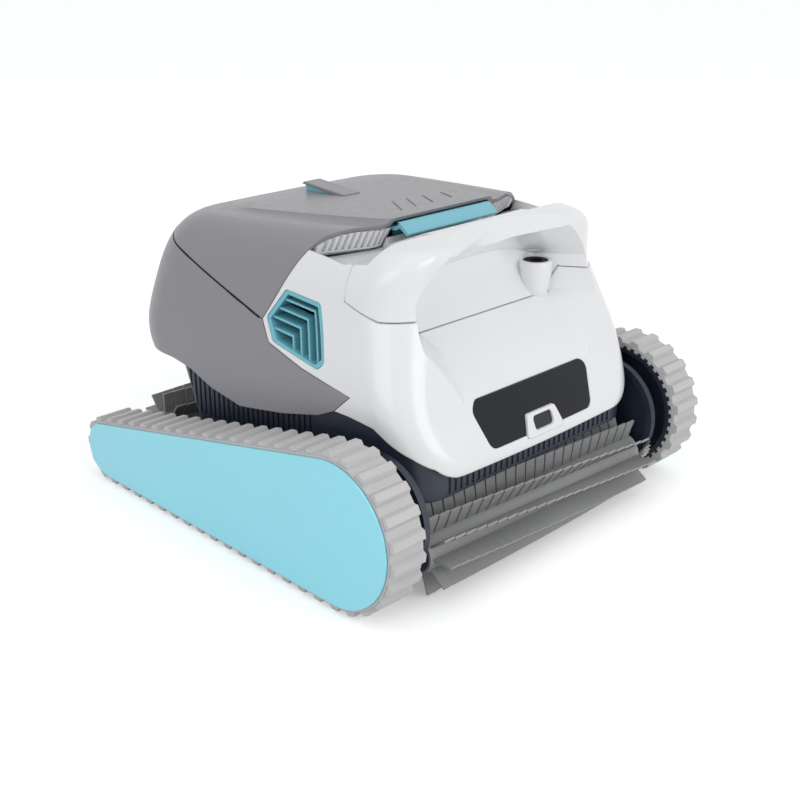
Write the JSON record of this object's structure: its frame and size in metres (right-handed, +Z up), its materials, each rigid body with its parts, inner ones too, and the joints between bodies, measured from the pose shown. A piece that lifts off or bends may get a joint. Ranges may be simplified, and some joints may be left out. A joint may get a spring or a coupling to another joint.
{
  "type": "pool cleaner",
  "caption": "Tracked robotic pool cleaner with flap brushes, a carrying handle with a hand recess, side vents, a hinged filter lid, pump and drive.",
  "frame": {"origin": "on the floor under the middle of the part's box", "axes": "+Z up, the front with window and handle faces -Y, +X to the right of someone facing the way it drives"},
  "size_m": [0.41, 0.4241, 0.2755],
  "materials": {
    "white_shell": "glossy moulded",
    "grey_shell": "satin moulded",
    "turquoise": "satin moulded",
    "dark_window": "polished",
    "lens": "polished",
    "navy_chassis": "satin moulded",
    "track_rubber": "matt moulded",
    "brush_rubber": "matt moulded",
    "black_rubber": "matt",
    "gear_plastic": "natural moulded",
    "steel": "turned",
    "inner_plastic": "moulded",
    "float_foam": "closed-cell foam",
    "filter_mesh": "fine woven mesh"
  },
  "bodies": {
    "base": {"front_shell": "white_shell", "handle_cover": "white_shell", "cable_gland": "black_rubber", "front_window": "dark_window", "sensor_bezel": "white_shell", "sensor_lens": "lens", "left_vent": "turquoise", "right_vent": "turquoise", "rear_skirt": "grey_shell", "left_outlet_comb": "white_shell", "right_outlet_comb": "white_shell", "lid_hinge_pin": "steel", "chassis": "navy_chassis", "flap_pins": "steel", "left_side_frame": "navy_chassis", "right_side_frame": "navy_chassis", "left_side_panel": "turquoise", "right_side_panel": "turquoise", "frame_screws": "steel", "left_track": "track_rubber", "right_track": "track_rubber", "drive_bushes": "gear_plastic", "idler_bushes": "gear_plastic", "brush_bushes": "gear_plastic", "motor_housing": "inner_plastic", "motor_seal": "black_rubber", "motor_cover": "inner_plastic", "motor_screws": "steel", "control_box": "inner_plastic", "pump_duct": "inner_plastic", "filter_basket": "inner_plastic", "filter_panels": "filter_mesh"},
    "lid": {"filter_lid": "grey_shell", "lid_insert": "turquoise", "lid_float": "float_foam"},
    "latch": {"lid_latch": "turquoise"},
    "left_drive": {"left_drive_pulley": "navy_chassis", "left_drive_gear": "gear_plastic"},
    "right_drive": {"right_drive_pulley": "navy_chassis", "right_drive_gear": "gear_plastic"},
    "left_idler_wheel": {"left_idler": "navy_chassis"},
    "right_idler_wheel": {"right_idler": "navy_chassis"},
    "left_roller_wheel": {"left_roller": "navy_chassis"},
    "right_roller_wheel": {"right_roller": "navy_chassis"},
    "left_motor": {"left_motor_shaft": "steel", "left_motor_pinion": "gear_plastic"},
    "right_motor": {"right_motor_shaft": "steel", "right_motor_pinion": "gear_plastic"},
    "front_brush": {"front_brush_core": "navy_chassis", "front_brush_sleeve": "brush_rubber", "brush_pinion": "gear_plastic"},
    "rear_brush": {"rear_brush_core": "navy_chassis", "rear_brush_sleeve": "brush_rubber"},
    "impeller_unit": {"impeller": "gear_plastic", "impeller_shaft": "steel"},
    "left_flap": {"left_intake_flap": "inner_plastic"},
    "right_flap": {"right_intake_flap": "inner_plastic"}
  },
  "joints": [
    {"name": "left_drive_spin", "type": "hinge", "parent": "base", "child": "left_drive", "pos_m": [-0.185, -0.1445, 0.0675], "axis": [1, 0, 0], "continuous": true, "deforming": ["left_track"]},
    {"name": "left_idler_spin", "type": "hinge", "parent": "base", "child": "left_idler_wheel", "pos_m": [-0.185, 0.1795, 0.0325], "axis": [1, 0, 0], "continuous": true},
    {"name": "left_roller_spin", "type": "hinge", "parent": "base", "child": "left_roller_wheel", "pos_m": [-0.185, 0.02, 0.0215], "axis": [1, 0, 0], "continuous": true},
    {"name": "left_motor_spin", "type": "hinge", "parent": "base", "child": "left_motor", "pos_m": [-0.0925, -0.10864, 0.05789], "axis": [1, 0, 0], "continuous": true},
    {"name": "right_drive_spin", "type": "hinge", "parent": "base", "child": "right_drive", "pos_m": [0.185, -0.1445, 0.0675], "axis": [1, 0, 0], "continuous": true, "deforming": ["right_track"]},
    {"name": "right_idler_spin", "type": "hinge", "parent": "base", "child": "right_idler_wheel", "pos_m": [0.185, 0.1795, 0.0325], "axis": [1, 0, 0], "continuous": true},
    {"name": "right_roller_spin", "type": "hinge", "parent": "base", "child": "right_roller_wheel", "pos_m": [0.185, 0.02, 0.0215], "axis": [1, 0, 0], "continuous": true},
    {"name": "right_motor_spin", "type": "hinge", "parent": "base", "child": "right_motor", "pos_m": [0.0925, -0.10864, 0.05789], "axis": [1, 0, 0], "continuous": true},
    {"name": "front_brush_spin", "type": "hinge", "parent": "base", "child": "front_brush", "pos_m": [0, -0.17298, 0.03696], "axis": [1, 0, 0], "continuous": true},
    {"name": "rear_brush_spin", "type": "hinge", "parent": "base", "child": "rear_brush", "pos_m": [0, 0.174, 0.037], "axis": [1, 0, 0], "continuous": true},
    {"name": "impeller_spin", "type": "hinge", "parent": "base", "child": "impeller_unit", "pos_m": [0, -0.085, 0.128], "axis": [0, 0, 1], "continuous": true},
    {"name": "lid_hinge", "type": "hinge", "parent": "base", "child": "lid", "pos_m": [0, 0.157, 0.2465], "axis": [-1, 0, 0], "range_deg": [0, 75]},
    {"name": "latch_slide", "type": "slide", "parent": "lid", "child": "latch", "axis": [0, 1, 0], "range_m": [0, 0.004], "stiffness_N_per_m": 900, "springref_m": -0.002},
    {"name": "left_flap_hinge", "type": "hinge", "parent": "base", "child": "left_flap", "pos_m": [-0.058, 0.048, 0.02], "axis": [-1, 0, 0], "range_deg": [0, 45]},
    {"name": "right_flap_hinge", "type": "hinge", "parent": "base", "child": "right_flap", "pos_m": [0.058, 0.048, 0.02], "axis": [-1, 0, 0], "range_deg": [0, 45]}
  ],
  "couplings": [
    {"joint": "left_idler_spin", "follows": "left_drive_spin", "ratio": 2.3834},
    {"joint": "left_roller_spin", "follows": "left_drive_spin", "ratio": 4.3071},
    {"joint": "left_motor_spin", "follows": "left_drive_spin", "ratio": -3},
    {"joint": "right_idler_spin", "follows": "right_drive_spin", "ratio": 2.3834},
    {"joint": "right_roller_spin", "follows": "right_drive_spin", "ratio": 4.3071},
    {"joint": "right_motor_spin", "follows": "right_drive_spin", "ratio": -3},
    {"joint": "front_brush_spin", "follows": "right_drive_spin", "ratio": -2}
  ]
}
